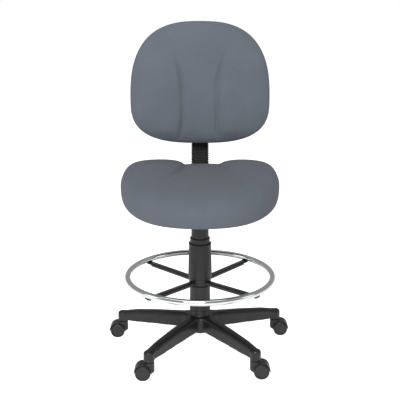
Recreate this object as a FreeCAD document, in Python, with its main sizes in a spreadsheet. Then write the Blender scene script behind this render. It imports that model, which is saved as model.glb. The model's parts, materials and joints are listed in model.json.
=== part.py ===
import FreeCAD, Part
import math
import os
import re

import Sketcher
from FreeCAD import Placement, Rotation, Vector

# Drafting chair. +X is the sitter's left, +Y the rear, +Z up; the origin is on the floor under the column.
# Driving dimensions, in millimetres and degrees. "_r" is a radius, "_half" half a width.
SIZES = {
    # castors
    "wheel_r": 24.5, "wheel_width": 17, "wheel_gap": 1, "trail": 19, "axle_r": 3, "axle_cap": 3,
    "stem_r": 5.5,
    "stem_dip": 5, "stem_cover": 4, "grip_wall": 0.8, "grip_height": 12, "hood_gap": 1.2, "hood_wall": 2.8,
    "hood_short": 3.5, "hood_below_axle": 1.5, "web_below_axle": 9, "web_wall": 1.5, "housing_r": 17,
    "swivel_gap": 0.8, "castor_rise": 15,
    # five-arm base
    "base_turn": 1.8, "stem_circle_r": 285, "hub_wall": 9.5, "hub_below": 7, "hub_above": 17,
    "arm_start_r": 20, "arm_root_half": 22, "arm_tip_half": 16.5, "arm_root_rise": 6, "arm_root_height": 51,
    "arm_tip_height": 29, "arm_middle_drop": 10, "middle_share": 0.55, "outer_share": 0.82, "arm_wall": 4.5,
    "tip_boss_r": 17.5, "tip_round": 9,
    "tip_boss_below": 7, "rib_width": 3, "crotch_r": 49, "crotch_drop": 7, "crotch_height": 18,
    "steel_ring_wall": 3, "steel_ring_height": 12,
    # column: gas spring in its standing tube
    "standing_r": 25, "standing_wall": 3, "standing_below": 2, "standing_length": 345, "foot_plate": 4,
    "rod_r": 5, "piston_drop": 62, "piston_height": 16, "stub_r": 4.5, "stub_below": 7, "bearing_r": 12,
    "bearing_height": 6, "clip_r": 9, "clip_height": 1.5, "bush_length": 100, "bush_flange": 3,
    "pressure_r": 14, "pressure_wall": 2, "pressure_length": 367, "seal_height": 20,
    "pin_r": 4, "pin_proud": 4, "pin_length": 30, "running": 0.05,
    # telescoping covers: each clears the one inside it by cover_gap
    "cover_wall": 1.8, "cover_gap": 0.6, "upper_cover_clearance": 1.6, "upper_cover_taper": 2,
    "middle_cover_taper": 1.8, "outer_cover_taper": 3, "lower_cover_proud": 0.7, "lower_cover_taper": 1,
    "outer_cover_height": 122, "middle_cover_overlap": 67.8, "middle_cover_height": 86,
    "upper_cover_overlap": 81,
    # footring
    "ring_r": 244, "ring_tube_r": 10, "ring_wall": 1.5, "ring_rise": 119, "spoke_turn": 3,
    "spoke_half_width": 12.5, "spoke_half_height": 6.5, "spoke_sunk": 1, "spoke_end_height": 6,
    "spoke_end_length": 20, "spoke_past_ring": 3,
    "spoke_bite": 4,
    "spoke_droop": 1.3, "ring_hub_wall": 12, "ring_hub_drop": 31.7, "ring_hub_height": 25.5, "screw_r": 2.5,
    "screw_head_r": 4.5, "screw_head": 2.5, "ring_knob_r": 17, "ring_knob_height": 15,
    "ring_knob_proud": 11,
    "ring_knob_stem_r": 4,
    # seat mechanism: a pan under the seat board
    "mech_rise": 55, "mech_height": 47, "mech_half_width": 70, "mech_front_y": -96, "mech_rear_y": 108,
    "mech_wall": 3, "mech_floor": 4, "mech_floor_half": 50, "socket_r": 23, "socket_height": 29,
    "bolt_r": 4, "bolt_head_r": 7, "bolt_head": 5, "bolt_x": 52, "bolt_y": 72,
    # seat: the outline is two superellipses that share one width
    "board_thickness": 12, "board_inset": 34, "seat_half_width": 264, "seat_middle_y": 60,
    "seat_front_depth": 298, "seat_rear_depth": 173, "seat_front_power": 2.3, "seat_rear_power": 4.5,
    "seat_height": 98, "seat_side_lift": 4, "seat_lip_drop": 18, "lobe_rise": 17, "lobe_x": 141,
    "lobe_y": 178,
    "lobe_half_width": 82, "lobe_half_depth": 46, "lobe_sunk": 14, "dust_cover": 2, "armrest_hole_r": 3.2,
    "armrest_inset": 96, "armrest_y": 20, "armrest_spacing_x": 40, "armrest_spacing_y": 90,
    # levers under the seat
    "lever_r": 4, "lever_rise": 12, "lever_pivot_x": 54, "crank_half": 8, "lever_reach": 155,
    "trunnion_r": 3,
    "trunnion_half": 20, "lug_half": 7, "lug_thickness": 4, "paddle_length": 50, "paddle_width": 26,
    "paddle_thickness": 10, "pin_clearance": 0.4, "angle_lever_y": 38,
    # back carrier
    "pivot_y": 95, "pivot_rise": 20, "pivot_r": 5, "bracket_half": 34, "bracket_height": 22,
    "bracket_end_y": 186, "bar_half_width": 25, "bar_thickness": 8, "bar_slack": 0.1, "bar_front_y": 110,
    "bar_bend_r": 45, "bar_top": 44, "depth_knob_r": 16, "depth_knob_height": 16, "depth_knob_y": 160,
    "knob_stem_r": 4, "knob_gap": 2,
    # backrest, in its own tilted plane: heights along it, depths in front of it
    "back_tilt": 5.7, "back_y": 236, "back_rise": 344, "back_half_width": 243, "back_top_height": 268,
    "back_foot_height": 151, "back_top_power": 2.65, "back_foot_power": 2.85, "back_depth": 56,
    "back_board_thickness": 11, "back_board_inset": 14, "shell_depth": 26, "shell_wall": 3,
    "shell_inset": 5,
    "bar_depth": 40, "slider_half_width": 34, "slider_inset": 31, "slider_height": 100, "slider_depth": 26,
    "height_knob_r": 18, "height_knob_height": 16, "height_knob_stem": 12, "bellows_proud": 7,
    "bellows_half_depth": 13.5, "bellows_fold": 3, "bellows_pitch": 7, "bellows_folds": 26,
}

# Sizes that follow from those, as the sheet's formulas: heights build up from the floor, so that the castors
# carry the base, the base the column, and the column the seat and the back. "_z" is a height above the floor.
DERIVED = {
    "stem_foot_z": "2 * wheel_r - stem_dip", "arm_tip_foot_z": "2 * wheel_r + castor_rise",
    "arm_tip_top_z": "arm_tip_foot_z + arm_tip_height", "boss_foot_z": "arm_tip_foot_z - tip_boss_below",
    "stem_top_z": "arm_tip_top_z - stem_cover", "grip_top_z": "boss_foot_z + grip_height",
    "web_half": "stem_r + web_wall", "wheel_inner_y": "web_half + wheel_gap",
    "wheel_outer_y": "wheel_inner_y + wheel_width", "axle_half": "wheel_outer_y - axle_cap",
    "hood_half": "wheel_outer_y - hood_short", "hood_inner_r": "wheel_r + hood_gap",
    "hood_outer_r": "hood_inner_r + hood_wall", "hood_foot_z": "wheel_r - hood_below_axle",
    "hood_top_z": "boss_foot_z - swivel_gap",
    "arm_root_foot_z": "arm_tip_foot_z + arm_root_rise",
    "arm_root_top_z": "arm_root_foot_z + arm_root_height",
    "arm_middle_x": "stem_circle_r * middle_share", "arm_middle_half": "(arm_root_half + arm_tip_half) / 2",
    "arm_middle_foot_z": "(arm_root_foot_z + arm_tip_foot_z) / 2",
    "arm_middle_top_z": "arm_root_top_z - arm_middle_drop", "crotch_top_z": "arm_root_top_z - crotch_drop",
    "crotch_foot_z": "crotch_top_z - crotch_height", "hub_r": "standing_r + hub_wall",
    "hub_foot_z": "arm_tip_foot_z - hub_below", "hub_top_z": "arm_root_top_z + hub_above",
    "steel_ring_r": "standing_r + steel_ring_wall", "steel_ring_top_z": "hub_foot_z + steel_ring_height",
    "standing_foot_z": "hub_foot_z - standing_below", "standing_top_z": "standing_foot_z + standing_length",
    "standing_bore_r": "standing_r - standing_wall", "plate_top_z": "standing_foot_z + foot_plate",
    "bearing_top_z": "plate_top_z + bearing_height", "bush_top_z": "standing_top_z + bush_flange",
    "bush_foot_z": "standing_top_z - bush_length", "mech_foot_z": "bush_top_z + mech_rise",
    "pressure_top_z": "mech_foot_z + socket_height", "pressure_foot_z": "pressure_top_z - pressure_length",
    "pressure_bore_r": "pressure_r - pressure_wall", "piston_z": "pressure_top_z - piston_drop",
    "piston_top_z": "piston_z + piston_height", "pin_top_z": "pressure_top_z + pin_proud",
    "pin_foot_z": "pin_top_z - pin_length", "ring_z": "hub_top_z + ring_rise",
    "ring_hub_foot_z": "ring_z - ring_hub_drop", "ring_hub_top_z": "ring_hub_foot_z + ring_hub_height",
    "ring_hub_r": "standing_r + ring_hub_wall", "ring_knob_y": "ring_hub_r + ring_knob_proud",
    "spoke_root_r": "standing_r + spoke_bite", "spoke_top_z": "ring_z - ring_tube_r + spoke_sunk",
    "upper_cover_top_r": "standing_r + upper_cover_clearance + cover_wall",
    "upper_cover_foot_r": "upper_cover_top_r + upper_cover_taper",
    "middle_cover_top_r": "upper_cover_foot_r + cover_gap + cover_wall",
    "middle_cover_foot_r": "middle_cover_top_r + middle_cover_taper",
    "outer_cover_top_r": "middle_cover_foot_r + cover_gap + cover_wall",
    "outer_cover_foot_r": "outer_cover_top_r + outer_cover_taper",
    "lower_cover_foot_r": "hub_r + lower_cover_proud",
    "lower_cover_top_r": "lower_cover_foot_r - lower_cover_taper",
    "outer_cover_top_z": "ring_hub_top_z + outer_cover_height",
    "middle_cover_foot_z": "outer_cover_top_z - middle_cover_overlap",
    "middle_cover_top_z": "middle_cover_foot_z + middle_cover_height",
    "upper_cover_foot_z": "middle_cover_top_z - upper_cover_overlap",
    "board_z": "mech_foot_z + mech_height", "board_top_z": "board_z + board_thickness",
    "plate_foot_z": "board_z - mech_wall", "seat_top_z": "board_z + seat_height",
    "seat_side_foot_z": "board_z + seat_side_lift", "seat_lip_z": "board_z - seat_lip_drop",
    "armrest_x": "seat_half_width - armrest_inset",
    "lever_z": "mech_foot_z + lever_rise", "finger_z": "pin_top_z + pin_clearance + lever_r",
    "lever_pivot_z": "(lever_z + finger_z) / 2", "pivot_z": "mech_foot_z + pivot_rise",
    "back_z": "pivot_z + back_rise", "slider_foot": "slider_inset - back_foot_height",
    "bellows_half_width": "bar_half_width + bellows_proud",
}

doc = FreeCAD.newDocument("drafting_chair")
sheet = doc.addObject("Spreadsheet::Sheet", "Sizes")
formulas = {alias: str(value) for alias, value in SIZES.items()}
formulas.update({alias: "=" + text for alias, text in DERIVED.items()})
for row, alias in enumerate(formulas, start=1):
    sheet.set("A%d" % row, alias)
    sheet.setAlias("B%d" % row, alias)
for row, formula in enumerate(formulas.values(), start=1):
    sheet.set("B%d" % row, formula)
doc.recompute()

ARM_NAMES = ("rear", "left", "front_left", "front_right", "right")
ARM_ANGLES = (90, 162, 234, 306, 18)
CASTER_YAW = {"rear": 75, "left": 181, "front_left": 180, "front_right": 0, "right": -1}
subparts = []


# ---- helpers: an expression is text made of the sheet's names, such as "ring_r - ring_tube_r"

def linked(text):
    return re.sub(r"[a-z][a-z0-9_]*", r"Sizes.\g<0>", text)


def size(text):
    return float(sheet.evalExpression(linked(text)))


def bind(thing, prop, text):
    thing.setExpression(prop, linked(text))


def subpart(thing, label):
    thing.Label = label
    subparts.append(thing)
    return thing


def new_body(name):
    return doc.addObject("PartDesign::Body", name)


def new_sketch(body, role, offset=None):
    plane = next(item for item in body.Origin.OriginFeatures if item.Role == role)
    sketch = body.newObject("Sketcher::SketchObject", "Sketch")
    sketch.AttachmentSupport = [(plane, "")]
    sketch.MapMode = "FlatFace"
    if offset:
        bind(sketch, "AttachmentOffset.Base.z", offset)
    return sketch


def pin_point(sketch, item, end, place):
    for kind, text in zip(("DistanceX", "DistanceY"), place):
        index = sketch.addConstraint(Sketcher.Constraint(kind, -1, 1, item, end, size(text)))
        bind(sketch, "Constraints[%d]" % index, text)


def draw_corners(sketch, corners):
    points = [Vector(size(x), size(y), 0) for x, y in corners]
    count = len(points)
    for i in range(count):
        sketch.addGeometry(Part.LineSegment(points[i], points[(i + 1) % count]))
    for i in range(count):
        sketch.addConstraint(Sketcher.Constraint("Coincident", i, 2, (i + 1) % count, 1))
        pin_point(sketch, i, 1, corners[i])
    return sketch


def draw_circle(sketch, radius, x="0", y="0"):
    centre = Vector(size(x), size(y), 0)
    item = sketch.addGeometry(Part.Circle(centre, Vector(0, 0, 1), size(radius)))
    index = sketch.addConstraint(Sketcher.Constraint("Radius", item, size(radius)))
    bind(sketch, "Constraints[%d]" % index, radius)
    pin_point(sketch, item, 3, (x, y))
    return sketch


def turned(name, corners, role="XZ_Plane"):
    """A piece turned about Z from (radius, height) corners, or about Y with role XY_Plane."""
    body = new_body(name)
    sketch = draw_corners(new_sketch(body, role), corners)
    turn = body.newObject("PartDesign::Revolution", "Turn")
    turn.Profile = sketch
    turn.ReferenceAxis = (sketch, ["V_Axis"])
    turn.Angle = 360
    return body


def sleeve(name, inner, outer, foot, top):
    return turned(name, [(inner, foot), (outer, foot), (outer, top), (inner, top)])


def box(name, x, y, z):
    """A block from pairs of expressions: its low and high side along each axis."""
    block = doc.addObject("Part::Box", name)
    for axis, prop, (low, high) in zip("xyz", ("Length", "Width", "Height"), (x, y, z)):
        bind(block, prop, "(%s) - (%s)" % (high, low))
        bind(block, "Placement.Base." + axis, low)
    return block


def cylinder(name, radius, height, at=("0", "0", "0"), turn=None):
    """A cylinder that rises along Z, or along the axis turn brings Z to; with at None it is placed later."""
    rod = doc.addObject("Part::Cylinder", name)
    if turn:
        rod.Placement = Placement(Vector(), turn)
    bind(rod, "Radius", radius)
    bind(rod, "Height", height)
    for axis, text in zip("xyz", at or ()):
        bind(rod, "Placement.Base." + axis, text)
    return rod


def fused(name, *pieces):
    whole = doc.addObject("Part::MultiFuse", name)
    whole.Shapes = list(pieces)
    return whole


def cut(name, base, *tools):
    result = doc.addObject("Part::Cut", name)
    result.Base = base
    result.Tool = tools[0] if len(tools) == 1 else fused(name + "_tools", *tools)
    return result


def grouped(name, pieces):
    group = doc.addObject("Part::Compound", name)
    group.Links = list(pieces)
    return group


def shaped(name, shape, placement=Placement()):
    thing = doc.addObject("Part::Feature", name)
    thing.Shape = shape
    thing.Placement = placement
    return thing


ALONG_X = Rotation(Vector(0, 1, 0), 90)
ALONG_MINUS_X = Rotation(Vector(0, 1, 0), -90)
ALONG_Y = Rotation(Vector(1, 0, 0), -90)
ABOUT_Z = Vector(0, 0, 1)


def egg_points(half_width, low_depth, high_depth, low_power, high_power, inset=0, per_quarter=6):
    """Points round an outline whose low and high halves are superellipses sharing one width."""
    points = []
    for i in range(4 * per_quarter):
        angle = 2 * math.pi * i / (4 * per_quarter)
        depth, power = (high_depth, high_power) if math.sin(angle) >= 0 else (low_depth, low_power)
        cos, sin = math.cos(angle), math.sin(angle)
        x = math.copysign(abs(cos) ** (2 / power), cos) * (half_width - inset)
        y = math.copysign(abs(sin) ** (2 / power), sin) * (depth - inset)
        points.append((x, y))
    return points


def closed_curve(points, height):
    curve = Part.BSplineCurve()
    curve.interpolate([Vector(x, y, height) for x, y in points], PeriodicFlag=True)
    return Part.Wire([curve.toShape()])


def seat_outline(inset, height):
    points = egg_points(size("seat_half_width"), size("seat_front_depth"), size("seat_rear_depth"),
                        size("seat_front_power"), size("seat_rear_power"), inset)
    return closed_curve([(x, y + size("seat_middle_y")) for x, y in points], height)


def back_outline(inset, height):
    points = egg_points(size("back_half_width"), size("back_foot_height"), size("back_top_height"),
                        size("back_foot_power"), size("back_top_power"), inset)
    return closed_curve(points, height)


def slab(wire, thickness):
    return Part.Face(wire).extrude(Vector(0, 0, thickness))


def stacked(outline, levels):
    """A solid through one outline at several (inset, height) levels."""
    return Part.makeLoft([outline(inset, height) for inset, height in levels], True, False)


# ---- column


subpart(turned("StandingTube", [
    ("stub_r + running", "standing_foot_z"), ("standing_r", "standing_foot_z"),
    ("standing_r", "standing_top_z"),
    ("standing_bore_r", "standing_top_z"), ("standing_bore_r", "plate_top_z"),
    ("stub_r + running", "plate_top_z"),
]), "standing_tube")

subpart(turned("GuideBush", [
    ("pressure_r + running", "bush_foot_z"), ("standing_bore_r", "bush_foot_z"),
    ("standing_bore_r", "standing_top_z"),
    ("standing_r", "standing_top_z"), ("standing_r", "bush_top_z"), ("pressure_r + running", "bush_top_z"),
]), "guide_bush")

subpart(sleeve("ThrustBearing", "rod_r + 0.5", "bearing_r", "plate_top_z", "bearing_top_z"),
        "thrust_bearing")

COLLAR_FOOT = "bearing_top_z + 0.3"
COLLAR_TOP = COLLAR_FOOT + " + 4"
STUB_FOOT = "standing_foot_z - stub_below"
subpart(turned("PistonRod", [
    ("0", STUB_FOOT), ("stub_r", STUB_FOOT), ("stub_r", COLLAR_FOOT), ("bearing_r - 3", COLLAR_FOOT),
    ("bearing_r - 3", COLLAR_TOP), ("rod_r", COLLAR_TOP), ("rod_r", "piston_z"), ("0", "piston_z"),
]), "piston_rod")
subpart(turned("PistonHead", [
    ("0", "piston_z"), ("pressure_bore_r - running", "piston_z"),
    ("pressure_bore_r - running", "piston_top_z"),
    ("0", "piston_top_z"),
]), "piston_head")
CLIP_TOP = "standing_foot_z - 1"
subpart(sleeve("RodClip", "stub_r", "clip_r", CLIP_TOP + " - clip_height", CLIP_TOP), "rod_clip")

SEAL_TOP = "pressure_foot_z + seal_height"
subpart(turned("PressureTube", [
    ("rod_r + running", "pressure_foot_z"), ("pressure_r", "pressure_foot_z"),
    ("pressure_r", "pressure_top_z"),
    ("pin_r + running", "pressure_top_z"), ("pin_r + running", "pin_foot_z - 2"),
    ("pressure_bore_r", "pin_foot_z - 10"), ("pressure_bore_r", SEAL_TOP), ("rod_r + running", SEAL_TOP),
]), "pressure_tube")
subpart(turned("ReleasePin", [
    ("0", "pin_foot_z"), ("pin_r", "pin_foot_z"), ("pin_r", "pin_top_z - 1"), ("pin_r - 1", "pin_top_z"),
    ("0", "pin_top_z"),
]), "release_pin")


def cover(name, foot_r, top_r, foot, top, foot_round, bead):
    """A tapering cover, rounded outward at its foot and with a bead of the given height at its rim."""
    proud = "%s + %s / 2" % (top_r, bead)
    return turned(name, [
        (foot_r + " - cover_wall", foot), (foot_r + " - %s" % foot_round, foot),
        (foot_r, "%s + %s" % (foot, foot_round)), (top_r, "%s - %s - 1.5" % (top, bead)),
        (proud, "%s - %s" % (top, bead)), (proud, top + " - 0.8"), (top_r + " - 0.4", top),
        (top_r + " - cover_wall", top),
    ])


subpart(cover("LowerCover", "lower_cover_foot_r", "lower_cover_top_r", "hub_top_z",
              "ring_hub_foot_z - 0.3", "0.6", "1.2"), "column_cover_lower")
subpart(cover("OuterCover", "outer_cover_foot_r", "outer_cover_top_r", "ring_hub_top_z",
              "outer_cover_top_z", "1.6", "2.4"),
        "column_cover_outer")
subpart(cover("MiddleCover", "middle_cover_foot_r", "middle_cover_top_r", "middle_cover_foot_z",
              "middle_cover_top_z", "0.5", "1.6"),
        "column_cover_middle")
subpart(cover("UpperCover", "upper_cover_foot_r", "upper_cover_top_r", "upper_cover_foot_z", "mech_foot_z",
              "0.5", "1.2"),
        "column_cover_upper")


# ---- base: a hub, five hollow ribbed arms and the webs between them



def arm_section(body, x, half, foot, top):
    """An arm's outline across: flat foot, drafted sides, wide chamfered shoulders and a flat crown."""
    right = [(half, foot), ("(%s) * 0.96" % half, "%s - (%s) * 0.42" % (top, half)),
             ("(%s) * 0.80" % half, "%s - (%s) * 0.15" % (top, half)), ("(%s) * 0.42" % half, top)]
    left = [("0 - (%s)" % y, z) for y, z in reversed(right)]
    return draw_corners(new_sketch(body, "YZ_Plane", x), right + left)


def loft(body, kind, sections):
    feature = body.newObject(kind, "Arm")
    feature.Profile = sections[0]
    feature.Sections = sections[1:]
    feature.Ruled = True
    return feature


base = new_body("BaseStar")
hub_profile = draw_corners(new_sketch(base, "XZ_Plane"), [
    ("0", "hub_foot_z"), ("hub_r", "hub_foot_z"), ("hub_r", "crotch_foot_z"),
    ("crotch_r", "crotch_foot_z + 3"),
    ("crotch_r", "crotch_top_z - 7"), ("hub_r + 8", "crotch_top_z"), ("hub_r + 1.5", "arm_root_top_z"),
    ("hub_r", "hub_top_z - 2"), ("hub_r - 2", "hub_top_z"), ("0", "hub_top_z"),
])
hub = base.newObject("PartDesign::Revolution", "Hub")
hub.Profile = hub_profile
hub.ReferenceAxis = (hub_profile, ["V_Axis"])
hub.Angle = 360
arm = loft(base, "PartDesign::AdditiveLoft", [
    arm_section(base, "arm_start_r", "arm_root_half", "arm_root_foot_z", "arm_root_top_z"),
    arm_section(base, "arm_middle_x", "arm_middle_half", "arm_middle_foot_z", "arm_middle_top_z"),
    arm_section(base, "stem_circle_r * outer_share", "arm_tip_half + 1", "arm_tip_foot_z",
                "arm_tip_top_z + 10"),
    arm_section(base, "stem_circle_r - 2", "arm_tip_half - 1", "arm_tip_foot_z", "arm_tip_top_z"),
])

# the tip's boss is turned about the castor's stem
boss_sketch = draw_corners(new_sketch(base, "XZ_Plane"), [
    ("stem_circle_r", "boss_foot_z"), ("stem_circle_r + tip_boss_r - 1", "boss_foot_z"),
    ("stem_circle_r + tip_boss_r", "boss_foot_z + 1"), ("stem_circle_r + tip_boss_r",
                                                        "arm_tip_top_z - tip_round"),
    ("stem_circle_r + tip_boss_r - tip_round * 0.1", "arm_tip_top_z - tip_round * 0.55"),
    ("stem_circle_r + tip_boss_r - tip_round * 0.45", "arm_tip_top_z - tip_round * 0.16"),
    ("stem_circle_r + tip_boss_r - tip_round", "arm_tip_top_z"), ("stem_circle_r", "arm_tip_top_z"),
])
stem_axis = boss_sketch.addGeometry(Part.LineSegment(Vector(size("stem_circle_r"), 0, 0),
                                                     Vector(size("stem_circle_r"), 10, 0)), True)
pin_point(boss_sketch, stem_axis, 1, ("stem_circle_r", "0"))
pin_point(boss_sketch, stem_axis, 2, ("stem_circle_r", "10"))
boss = base.newObject("PartDesign::Revolution", "TipBoss")
boss.Profile = boss_sketch
boss.ReferenceAxis = (boss_sketch, ["Axis0"])
boss.Angle = 360


def hollow_section(x, half, foot, top):
    inner, roof = "(%s) - arm_wall" % half, "%s - arm_wall * 2.4" % top
    return draw_corners(new_sketch(base, "YZ_Plane", x), [
        (inner, foot + " - 5"), (inner + " * 1.3", roof), ("0 - (%s * 1.3)" % inner, roof),
        ("0 - (%s)" % inner, foot + " - 5"),
    ])


hollow = loft(base, "PartDesign::SubtractiveLoft", [
    hollow_section("hub_r + 8", "arm_root_half - 2", "arm_root_foot_z", "arm_root_top_z - 8"),
    hollow_section("arm_middle_x", "arm_middle_half", "arm_root_foot_z", "arm_middle_top_z - 1"),
    hollow_section("stem_circle_r - tip_boss_r + 1", "arm_tip_half - 1", "arm_tip_foot_z",
                   "arm_tip_top_z + 3"),
])

ribs = []
for share in (0.36, 0.55, 0.74):
    middle = "stem_circle_r * %s" % share
    half = "(arm_root_half - 2 - (arm_root_half - arm_tip_half) * %s)" % share
    drop = "(arm_middle_top_z - arm_tip_top_z) * (%s - 0.36)" % share
    rib_sketch = draw_corners(new_sketch(base, "XY_Plane", "arm_root_foot_z + 1"), [
        (middle + " - rib_width / 2", "0 - " + half), (middle + " + rib_width / 2", "0 - " + half),
        (middle + " + rib_width / 2", half), (middle + " - rib_width / 2", half),
    ])
    rib = base.newObject("PartDesign::Pad", "Rib")
    rib.Profile = rib_sketch
    bind(rib, "Length", "arm_middle_top_z - 6 - arm_root_foot_z - " + drop)
    ribs.append(rib)


def bored(name, top, radius, depth, x="0"):
    """A round pocket in the base, cut downward from a height."""
    pocket = base.newObject("PartDesign::Pocket", name)
    pocket.Profile = draw_circle(new_sketch(base, "XY_Plane", top), radius, x)
    bind(pocket, "Length", depth)
    return pocket


socket = bored("StemSocket", "stem_top_z", "stem_r", "arm_tip_top_z", "stem_circle_r")
grip_pocket = bored("GripPocket", "grip_top_z", "stem_r + grip_wall", "arm_tip_top_z", "stem_circle_r")
arms = base.newObject("PartDesign::PolarPattern", "Arms")
arms.Originals = [arm, boss, hollow] + ribs + [socket, grip_pocket]
arms.Axis = (hub_profile, ["V_Axis"])
arms.Angle = 360
arms.Occurrences = len(ARM_NAMES)
base.Tip = arms
bored("ColumnBore", "hub_top_z + 1", "standing_r", "hub_top_z")
bored("RingSeat", "steel_ring_top_z", "steel_ring_r", "hub_top_z")
base.Placement = Placement(Vector(), Rotation(ABOUT_Z, size("base_turn") + ARM_ANGLES[0]))
subpart(base, "base_star")
subpart(sleeve("HubSteelRing", "standing_r", "steel_ring_r", "hub_foot_z", "steel_ring_top_z"),
        "hub_steel_ring")


# ---- castors: a stem and grip ring in each arm, a hood that swivels on the stem, two wheels on an axle

AROUND_WHEELS = ("trail - wheel_r * 3", "trail + wheel_r * 3")


def castor_place(arm_name):
    angle = math.radians(ARM_ANGLES[ARM_NAMES.index(arm_name)] + size("base_turn"))
    radius = size("stem_circle_r")
    return Placement(Vector(radius * math.cos(angle), radius * math.sin(angle), 0),
                     Rotation(ABOUT_Z, CASTER_YAW[arm_name]))


stems = []
grips = []
for name in ARM_NAMES:
    stems.append(turned("Stem", [
        ("0", "stem_foot_z"), ("stem_r - 0.8", "stem_foot_z"), ("stem_r", "stem_foot_z + 0.8"),
        ("stem_r", "stem_top_z - 1"), ("stem_r - 1", "stem_top_z"), ("0", "stem_top_z"),
    ]))
    grips.append(sleeve("Grip", "stem_r", "stem_r + grip_wall", "boss_foot_z", "grip_top_z"))
    stems[-1].Placement = castor_place(name)
    grips[-1].Placement = castor_place(name)
subpart(grouped("CasterStems", stems), "caster_stems")
subpart(grouped("StemGripRings", grips), "stem_grip_rings")


def across_axle(name, radius, start, length):
    return cylinder(name, radius, length, ("trail", start, "wheel_r"), ALONG_Y)


def hood(name):
    """Fenders over both wheels and a housing round the stem, a web between the wheels, and both bores."""
    fender = across_axle("Fender", "hood_outer_r", "0 - hood_half", "2 * hood_half")
    housing = cylinder("Housing", "housing_r", "hood_top_z", ("0", "0", "0"))
    below = box("Below", AROUND_WHEELS, ("0 - wheel_r * 2", "wheel_r * 2"), ("0 - wheel_r", "hood_foot_z"))
    rooms = [across_axle("WheelRoom", "hood_inner_r", "web_half", "wheel_r * 2"),
             across_axle("WheelRoom", "hood_inner_r", "0 - wheel_r * 2 - web_half", "wheel_r * 2")]
    shell = cut("HoodShell", fused("HoodOutside", fender, housing), below, *rooms)
    disc = across_axle("WebDisc", "hood_inner_r + 0.5", "0 - web_half", "2 * web_half")
    web_foot = box("WebFoot", AROUND_WHEELS, ("0 - wheel_r", "wheel_r"),
                   ("0 - wheel_r", "wheel_r - web_below_axle"))
    web = cut("HoodWeb", disc, web_foot)
    stem_bore = cylinder("StemBore", "stem_r + running", "hood_top_z", ("0", "0", "stem_foot_z - 0.2"))
    axle_bore = across_axle("AxleBore", "axle_r", "0 - wheel_r", "2 * wheel_r")
    return cut(name, fused("HoodWhole", shell, web), stem_bore, axle_bore)


def wheel(name):
    """A wheel turned about its axle: flat tread with rounded edges, dished disc, blind bore."""
    inner, outer, bore = "wheel_inner_y", "wheel_outer_y", "axle_r + running"
    return turned(name, [
        (bore, inner), ("wheel_r - 2.5", inner), ("wheel_r - 0.7", inner + " + 0.8"),
        ("wheel_r", inner + " + 2.5"), ("wheel_r", outer + " - 3"), ("wheel_r - 0.8", outer + " - 1.2"),
        ("wheel_r - 2.6", outer + " - 0.3"), ("wheel_r - 4.5", outer + " - 0.3"),
        ("wheel_r - 5.6", outer + " - 1.8"), ("wheel_r * 0.5", outer + " - 1.2"), ("wheel_r * 0.3", outer),
        ("0", outer), ("0", "axle_half + 0.3"), (bore, "axle_half + 0.3"),
    ], "XY_Plane")


for name in ARM_NAMES:
    place = castor_place(name)
    body = hood("Hood")
    body.Placement = place
    subpart(body, "caster_hood_" + name)
    axle = turned("Axle", [("0", "0 - axle_half"), ("axle_r", "0 - axle_half"), ("axle_r", "axle_half"),
                           ("0", "axle_half")], "XY_Plane")
    at_axle = place.multiply(Placement(Vector(size("trail"), 0, size("wheel_r")), Rotation()))
    axle.Placement = at_axle
    subpart(axle, "caster_axle_" + name)
    for side, turn in (("a", 0), ("b", 180)):
        rolling = wheel("Wheel")
        rolling.Placement = at_axle.multiply(Placement(Vector(), Rotation(ABOUT_Z, turn)))
        subpart(rolling, "caster_wheel_%s_%s" % (name, side))


# ---- footring: ring, flat-oval spokes, clamping hub, screws and knob

spoke_angles = [math.radians(45 + 90 * i + size("spoke_turn")) for i in range(4)]


def along_spoke(angle, radius, height):
    return Placement(Vector(radius * math.cos(angle), radius * math.sin(angle), height),
                     Rotation(ABOUT_Z, math.degrees(angle)))


def spoke(angle):
    """A flat-oval bar that rises a little from the hub to pass under the ring."""
    body = new_body("Spoke")
    sketch = new_sketch(body, "YZ_Plane")
    flat = "spoke_half_width - spoke_half_height"
    half, low = size(flat), size("spoke_half_height")
    sketch.addGeometry(Part.LineSegment(Vector(-half, low, 0), Vector(half, low, 0)))
    sketch.addGeometry(Part.ArcOfCircle(Part.Circle(Vector(half, 0, 0), ABOUT_Z, low), -math.pi / 2,
                                        math.pi / 2))
    sketch.addGeometry(Part.LineSegment(Vector(half, -low, 0), Vector(-half, -low, 0)))
    sketch.addGeometry(Part.ArcOfCircle(Part.Circle(Vector(-half, 0, 0), ABOUT_Z, low), math.pi / 2,
                                        -math.pi / 2))
    pin_point(sketch, 0, 1, ("0 - (%s)" % flat, "spoke_half_height"))
    pin_point(sketch, 0, 2, (flat, "spoke_half_height"))
    pin_point(sketch, 2, 1, (flat, "0 - spoke_half_height"))
    pin_point(sketch, 2, 2, ("0 - (%s)" % flat, "0 - spoke_half_height"))
    for item, (first, last) in enumerate((((0, 2), (1, 2)), ((1, 1), (2, 1)), ((2, 2), (3, 2)),
                                          ((3, 1), (0, 1)))):
        sketch.addConstraint(Sketcher.Constraint("Coincident", first[0], first[1], last[0], last[1]))
    for item, centre_x in ((1, flat), (3, "0 - (%s)" % flat)):
        index = sketch.addConstraint(Sketcher.Constraint("DistanceX", -1, 1, item, 3, size(centre_x)))
        bind(sketch, "Constraints[%d]" % index, centre_x)
    pad = body.newObject("PartDesign::Pad", "Bar")
    pad.Profile = sketch
    bind(pad, "Length", "ring_r + spoke_past_ring - spoke_root_r")
    tip = along_spoke(angle, size("spoke_root_r"), size("spoke_top_z - spoke_half_height")
                      - (size("ring_r") - size("spoke_root_r")) * math.tan(math.radians(size("spoke_droop"))))
    body.Placement = tip.multiply(Placement(Vector(), Rotation(Vector(0, 1, 0), -size("spoke_droop"))))
    return body


def at_ring(thing, angle, height):
    thing.Placement = along_spoke(angle, size("ring_r"), size(height))
    return thing


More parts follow.
